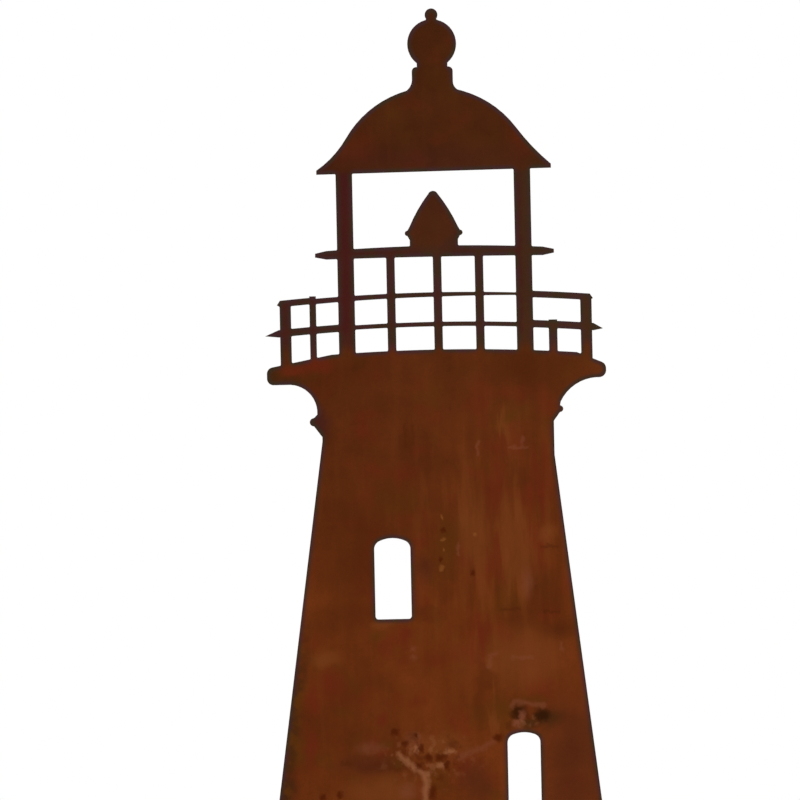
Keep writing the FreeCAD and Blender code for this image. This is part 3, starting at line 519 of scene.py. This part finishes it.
def crumbled(recipe, places, front, colour, height):
    """Light crumbs and small dark pits, in two fields of the front."""
    pits = recipe.spot(places["loose"], PIT_FIELD_MM, ZONE_SOFT)
    knot = recipe.spot(recipe.place, KNOT_FIELD_MM, ZONE_SOFT)
    field = recipe.calc("MULTIPLY", recipe.any_of([pits, knot]), front)
    crumbs = recipe.noise(recipe.place, CRUMB_CELLS, detail=2.0)
    light = recipe.calc("MULTIPLY", recipe.rise(crumbs, 0.54, 0.70), field)
    colour = recipe.tinted(colour, TAN_RUST, light, 0.24)
    dark = recipe.calc("MULTIPLY", recipe.rise(crumbs, 0.46, 0.32), field)
    colour = recipe.tinted(colour, DARK_PIT, dark, 0.45)
    return colour, recipe.calc("MULTIPLY_ADD", dark, CRUMB_RELIEF, height)


def left_band(recipe):
    """1 in a band along the lower part of the tower's left side."""
    (x_foot, z_foot), (x_neck, z_neck) = LEFT_SIDE_MM
    along = Vector((x_neck - x_foot, 0, z_neck - z_foot)).normalized()
    inwards = (along.z, 0, -along.x)
    offset = recipe.vector("SUBTRACT", recipe.wobbled(recipe.place, *LEFT_BAND_WOBBLE),
                           (x_foot * MM, 0, z_foot * MM))
    gap = recipe.vector("DOT_PRODUCT", offset, inwards, output=1)
    return recipe.calc("MULTIPLY", recipe.rise(gap, *LEFT_BAND_GAP), recipe.rise(recipe.z, *LEFT_BAND_Z))


def rimmed(recipe, place, colour):
    """Dark scale: a patchy band down the tower's left side, a rim along each edge, and the cut faces."""
    band = left_band(recipe)
    patches = recipe.noise(place, SCALE_CELLS)
    band = recipe.calc("MULTIPLY", band, recipe.rise(patches, 0.28, 0.48))
    tint = recipe.mix(recipe.rise(patches, 0.46, 0.60), DARK_OLIVE, OLIVE_RUST)
    colour = recipe.tinted(colour, tint, band, 0.75)

    tint = recipe.mix(recipe.rise(patches, 0.42, 0.58), RIM_PLUM, RIM_OLIVE)
    colour = recipe.tinted(colour, tint, recipe.rim(RIM_REACH), 0.85)
    squarely = recipe.calc("ABSOLUTE", recipe.vector("DOT_PRODUCT", recipe.normal, (0, 1, 0), output=1))
    return recipe.tinted(colour, CUT_EDGE, recipe.rise(squarely, *CUT_FACE_TURN), 0.8)


def plate_rust(name):
    """Rust of the plate and the brackets: blotched with orange, stained dark and dull at the edges."""
    recipe = Recipe(name)
    colour, height, grain = rust_ground(recipe, recipe.place, PLATE_BROWN)
    blotches = recipe.noise(recipe.place, BLOTCH_CELLS, detail=5.0, roughness=0.6)
    colour = recipe.tinted(colour, PLATE_ORANGE, recipe.rise(blotches, 0.50, 0.62), 0.45)
    stains = recipe.noise(recipe.place, STAIN_CELLS, detail=4.0)
    colour = recipe.tinted(colour, PLATE_DARK, recipe.rise(stains, 0.50, 0.36), 0.55)
    colour = recipe.tinted(colour, RIM_OLIVE, recipe.rim(RIM_REACH), 0.6)
    return recipe.finish(colour, recipe.between(grain, 0.70, 0.90), height, RUST_RELIEF)


def weathered_steel():
    """Zinc gone dull, with rust stains."""
    recipe = Recipe("weathered_steel")
    grain = recipe.noise(recipe.place, STEEL_GRAIN_CELLS, detail=4.0)
    stains = recipe.rise(recipe.noise(recipe.place, STEEL_STAIN_CELLS, detail=4.0), 0.46, 0.60)
    colour = recipe.tinted(DULL_STEEL, STEEL_STAIN, stains, 0.75)
    colour = recipe.shade(colour, recipe.between(grain, 0.75, 1.25))
    roughness = recipe.between(stains, 0.42, 0.72)
    return recipe.finish(colour, roughness, grain, STEEL_RELIEF, metallic=0.8, specular=0.5)


# ---- turned and hexagonal fasteners -----------------------------------------------------------------
def round_ring(radius):
    """A ring's radius at any angle: a circle."""
    return lambda angle: radius


def hex_ring(across_flats, limit=math.inf):
    """A ring's radius at any angle: a hexagon, cut off by a circle where it would reach past the limit."""
    def radius(angle):
        from_flat = (angle % (math.pi / 3)) - math.pi / 6
        return min(across_flats / 2 / math.cos(from_flat), limit)
    return radius


def lofted(bm, rings, closed):
    """Skins rings of (z, radius at an angle), in order; closed joins the last to the first."""
    rows = []
    for z, radius in rings:
        row = []
        for step in range(ROUND_STEPS):
            angle = 2 * math.pi * step / ROUND_STEPS
            row.append(bm.verts.new((radius(angle) * math.cos(angle), radius(angle) * math.sin(angle), z)))
        rows.append(row)
    pairs = list(zip(rows, rows[1:]))
    if closed:
        pairs.append((rows[-1], rows[0]))
    else:
        bm.faces.new(rows[0])
        bm.faces.new(rows[-1])
    for low, high in pairs:
        for step in range(ROUND_STEPS):
            following = (step + 1) % ROUND_STEPS
            bm.faces.new((low[step], low[following], high[following], high[step]))


def thread_rings():
    """Rings up a threaded shank from z = 0, with a chamfered end."""
    steps_per_turn = 8
    rings = []
    count = round(SCREW_LENGTH / THREAD_PITCH * steps_per_turn)
    for i in range(count + 1):
        z = SCREW_LENGTH * i / count
        tip = max(0.0, z - (SCREW_LENGTH - THREAD_PITCH))

        def radius(angle, z=z, tip=tip):
            turn = (z / THREAD_PITCH - angle / (2 * math.pi)) % 1
            groove = THREAD_DEPTH * (1 - abs(2 * turn - 1))
            return SCREW_RADIUS - max(groove, tip)
        rings.append((z, radius))
    return rings


def socket_rings(mouth_z):
    """Rings from the floor of a hexagon socket out to its mouth, and on to the flat round it."""
    return [(mouth_z + SOCKET_DEPTH, hex_ring(HEX_SOCKET)), (mouth_z, hex_ring(HEX_SOCKET)),
            (mouth_z, round_ring(SOCKET_MOUTH))]


def button_screw_rings():
    """A domed head below z = 0 with a socket in its top, and the shank above."""
    rings = socket_rings(-BUTTON_HEIGHT)
    steps = 8
    for i in range(steps + 1):
        lean = math.pi / 2 * i / steps
        radius = BUTTON_TOP + (BUTTON_RADIUS - BUTTON_TOP) * math.sin(lean)
        height = BUTTON_HEIGHT * (BUTTON_RIM + (1 - BUTTON_RIM) * math.cos(lean))
        rings.append((-height, round_ring(radius)))
    rings.append((0.0, round_ring(BUTTON_RADIUS)))
    return rings + thread_rings()


def countersunk_screw_rings():
    """A flat head at z = 0 that narrows to the shank, with a socket in it."""
    cone_depth = SUNK_RADIUS - SCREW_RADIUS
    rings = socket_rings(0.0)
    rings.append((0.0, round_ring(SUNK_RADIUS - CORNER_BREAK)))
    rings.append((CORNER_BREAK, round_ring(SUNK_RADIUS)))
    rings.append((cone_depth, round_ring(SCREW_RADIUS - THREAD_DEPTH)))
    return rings + [ring for ring in thread_rings() if ring[0] > cone_depth]


def nut_rings(height):
    """A hexagon nut with both faces chamfered round and the bore countersunk."""
    reach = NUT_FLATS / math.sqrt(3) - NUT_FACE
    slope = math.tan(NUT_CHAMFER)
    steps = 6
    chamfer = [(reach * i / steps * slope, hex_ring(NUT_FLATS, NUT_FACE + reach * i / steps))
               for i in range(steps + 1)]
    mouth = 2 * CORNER_BREAK
    rings = [(0.0, round_ring(NUT_BORE + mouth))]
    rings += chamfer
    rings += [(height - z, ring) for z, ring in reversed(chamfer)]
    rings += [(height, round_ring(NUT_BORE + mouth)), (height - mouth, round_ring(NUT_BORE)),
              (mouth, round_ring(NUT_BORE))]
    return rings


def washer_rings(radius, height):
    """A flat washer with its outer corners broken."""
    return [
        (0.0, round_ring(WASHER_BORE)), (0.0, round_ring(radius - CORNER_BREAK)),
        (CORNER_BREAK, round_ring(radius)), (height - CORNER_BREAK, round_ring(radius)),
        (height, round_ring(radius - CORNER_BREAK)), (height, round_ring(WASHER_BORE)),
    ]


def halves(node):
    """The boxes of a node's left and right solids, as (lowest, highest) corners."""
    boxes = []
    for side in SIDES:
        corners = [v.co for v in frame["nodes"][node].data.vertices if v.co.x * side > 0]
        boxes.append((Vector(map(min, *corners)), Vector(map(max, *corners))))
    return boxes


def fastener_pair(node, rings_for, along, closed, material):
    """Replaces a node's two fasteners by detailed ones that run along an axis, in the same places.

    For the box of one, rings_for gives its rings and where along the axis their z = 0 lies.
    """
    axis = "XYZ".index(along)
    turn = Matrix.Rotation(-math.pi / 2, 4, "X") if along == "Y" else Matrix.Identity(4)
    bm = bmesh.new()
    for low, high in halves(node):
        rings, start = rings_for(low, high)
        solid = bmesh.new()
        lofted(solid, rings, closed)
        seat = (low + high) / 2
        seat[axis] = start
        solid.transform(Matrix.Translation(seat) @ turn)
        bmesh.ops.recalc_face_normals(solid, faces=solid.faces)
        mesh = bpy.data.meshes.new("one_fastener")
        solid.to_mesh(mesh)
        solid.free()
        bm.from_mesh(mesh)
        bpy.data.meshes.remove(mesh)
    mesh = bpy.data.meshes.new(node + "_fine")
    bm.to_mesh(mesh)
    bm.free()
    mesh.shade_smooth()
    mesh.set_sharp_from_angle(angle=SMOOTH_BELOW)
    mesh.materials.append(material)
    piece = bpy.data.objects.new(node + "_fine", mesh)
    bpy.context.scene.collection.objects.link(piece)
    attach(piece, "root")
    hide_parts(node)


def fasteners():
    """Both sets of screws, washers and nuts."""
    steel = weathered_steel()

    def button(low, high):
        return button_screw_rings(), low.y + BUTTON_HEIGHT

    def sunk(low, high):
        return countersunk_screw_rings(), low.z

    def nut(along):
        axis = "XYZ".index(along)
        return lambda low, high: (nut_rings(high[axis] - low[axis]), low[axis])

    def washer(along):
        axis = "XYZ".index(along)
        return lambda low, high: (washer_rings((high.x - low.x) / 2, high[axis] - low[axis]), low[axis])

    fastener_pair("upright_screws", button, "Y", False, steel)
    fastener_pair("upright_washers", washer("Y"), "Y", True, steel)
    fastener_pair("upright_nuts", nut("Y"), "Y", True, steel)
    fastener_pair("base_screws", sunk, "Z", False, steel)
    fastener_pair("base_washers", washer("Z"), "Z", True, steel)
    fastener_pair("base_nuts", nut("Z"), "Z", True, steel)


# ---- studio -----------------------------------------------------------------------------------------
FLOOR_RADIUS = 1.4
FLOOR_SIDES = 96
FLOOR_DROP = 0.0004            # keeps the floor off the base plate's underside
FLOOR_FADE = (0.35, 0.95)      # from the object's middle: the floor's own white turns to plain white
FLOOR_WHITE = (0.86, 0.86, 0.86, 1.0)
PLAIN_WHITE = (1.0, 1.0, 1.0, 1.0)
AMBIENT = 0.55
LAMP_SIZE = 1.4
LAMPS = (                      # name, place and power in watts
    ("key_light", (0.9, -1.9, 1.5), 26.0),
    ("fill_light", (-1.6, -1.3, 0.9), 8.0),
    ("back_light", (-0.7, 1.9, 1.5), 22.0),
)


def background_ray(nodes, links):
    """1 for what the camera sees, straight on, in a gloss or through glass; 0 for other light."""
    path = nodes.new("ShaderNodeLightPath")
    seen = path.outputs["Is Camera Ray"]
    for name in ("Is Glossy Ray", "Is Transmission Ray"):
        either = nodes.new("ShaderNodeMath")
        either.operation = "MAXIMUM"
        links.new(seen, either.inputs[0])
        links.new(path.outputs[name], either.inputs[1])
        seen = either.outputs[0]
    return seen


def floor():
    """A round floor that takes the shadow and fades to the white background."""
    bm = bmesh.new()
    bmesh.ops.create_circle(bm, cap_ends=True, segments=FLOOR_SIDES, radius=FLOOR_RADIUS)
    mesh = bpy.data.meshes.new("floor")
    bm.to_mesh(mesh)
    bm.free()
    piece = bpy.data.objects.new("floor", mesh)
    piece.location.z = CAD_BOX[0].z - FLOOR_DROP
    bpy.context.scene.collection.objects.link(piece)

    recipe = Recipe("floor")
    fade = recipe.rise(recipe.vector("LENGTH", recipe.place, output=1), *FLOOR_FADE)
    share = recipe.calc("MULTIPLY", fade, background_ray(recipe.nodes, recipe.links))
    matt = recipe.add("ShaderNodeBsdfDiffuse", {"Color": FLOOR_WHITE})
    white = recipe.add("ShaderNodeEmission", {"Color": PLAIN_WHITE, "Strength": 1.0})
    surface = recipe.add("ShaderNodeMixShader", {0: share, 1: matt, 2: white})
    output = recipe.nodes.new("ShaderNodeOutputMaterial")
    recipe.links.new(surface, output.inputs["Surface"])
    mesh.materials.append(recipe.material)


def world():
    """White to the camera and in reflections, and a softer even light on everything."""
    surroundings = bpy.data.worlds.new("studio")
    surroundings.use_nodes = True
    nodes = surroundings.node_tree.nodes
    links = surroundings.node_tree.links
    background = nodes["Background"]
    background.inputs["Color"].default_value = PLAIN_WHITE
    level = nodes.new("ShaderNodeMath")
    level.operation = "MAXIMUM"
    level.inputs[1].default_value = AMBIENT
    links.new(background_ray(nodes, links), level.inputs[0])
    links.new(level.outputs[0], background.inputs["Strength"])
    bpy.context.scene.world = surroundings


def lamps():
    """Square soft lights, each turned towards the middle of the object."""
    middle = (CAD_BOX[0] + CAD_BOX[1]) / 2
    for name, place, power in LAMPS:
        light = bpy.data.lights.new(name, "AREA")
        light.size = LAMP_SIZE
        light.energy = power
        piece = bpy.data.objects.new(name, light)
        piece.location = place
        piece.rotation_euler = (middle - Vector(place)).to_track_quat("-Z", "Y").to_euler()
        bpy.context.scene.collection.objects.link(piece)


def camera():
    """Looks square at the sheet, rolled so that it stands as in the photograph."""
    sheet_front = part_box("lighthouse_sheet")[0].y
    data = bpy.data.cameras.new("camera")
    data.sensor_width = SENSOR_MM
    data.lens = SENSOR_MM * CAMERA_DISTANCE / VIEW_WIDTH
    piece = bpy.data.objects.new("camera", data)
    piece.location = (VIEW_CENTRE_X, sheet_front - CAMERA_DISTANCE, VIEW_CENTRE_Z)
    piece.rotation_euler = (math.pi / 2, VIEW_TILT, 0.0)
    bpy.context.scene.collection.objects.link(piece)
    bpy.context.scene.camera = piece


# ---- the whole scene --------------------------------------------------------------------------------
def dress(node, material):
    """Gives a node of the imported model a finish."""
    for slot in frame["nodes"][node].material_slots:
        slot.material = material


dress("lighthouse_sheet", sheet_rust())
dress("base_plate", plate_rust("plate_rust"))
bracket_rust = plate_rust("bracket_rust")
dress("left_bracket", bracket_rust)
dress("right_bracket", bracket_rust)
fasteners()
floor()
world()
lamps()
camera()
bpy.context.scene.view_settings.view_transform = "Standard"
